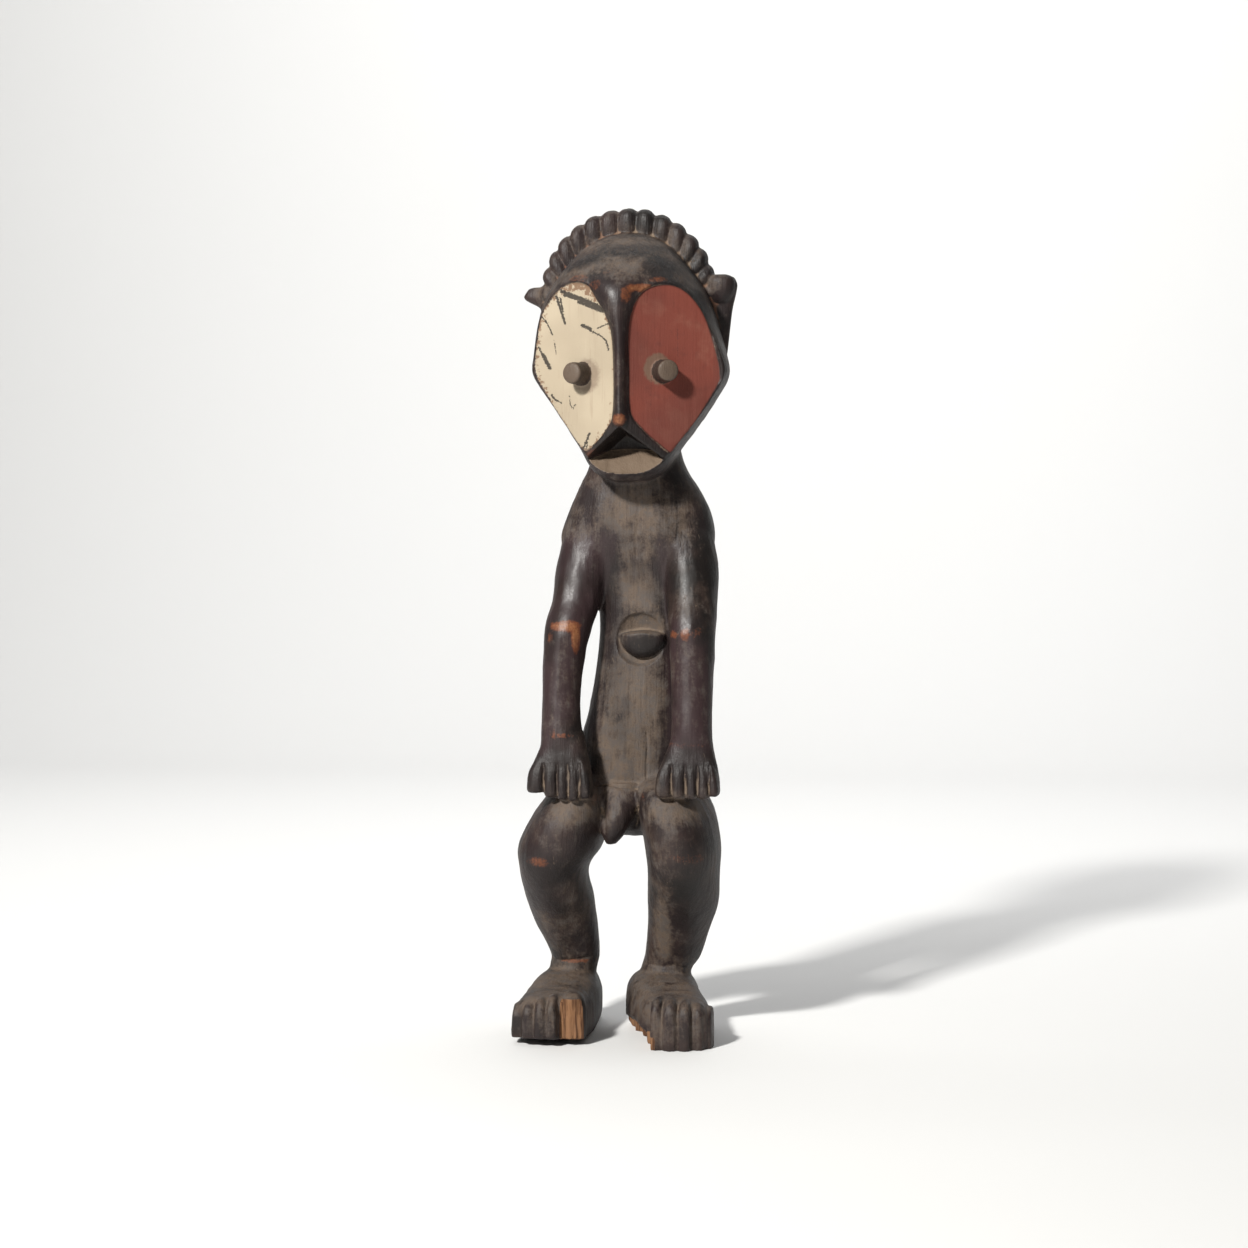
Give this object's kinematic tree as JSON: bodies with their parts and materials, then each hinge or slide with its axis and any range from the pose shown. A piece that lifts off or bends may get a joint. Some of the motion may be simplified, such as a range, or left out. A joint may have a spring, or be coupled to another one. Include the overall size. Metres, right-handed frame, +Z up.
{
  "type": "carved wooden standing figure",
  "caption": "Carved wooden standing figure with a ridged crest of hair, a flat two-coloured face with peg eyes, hands on bent thighs and broad feet; stands by its own weight as a display piece.",
  "frame": {"origin": "middle of the figure's outline at the floor, under the soles", "axes": "+Z up along the figure's height, the figure faces -Y, +X to its left hand"},
  "size_m": [0.1696, 0.156, 0.65],
  "materials": {
    "carved_wood": "dark dusty old wood with worn orange-brown high spots, one cream and one red-brown painted face plane"
  },
  "bodies": {
    "root": {"carved_figure": "carved_wood"}
  },
  "joints": []
}
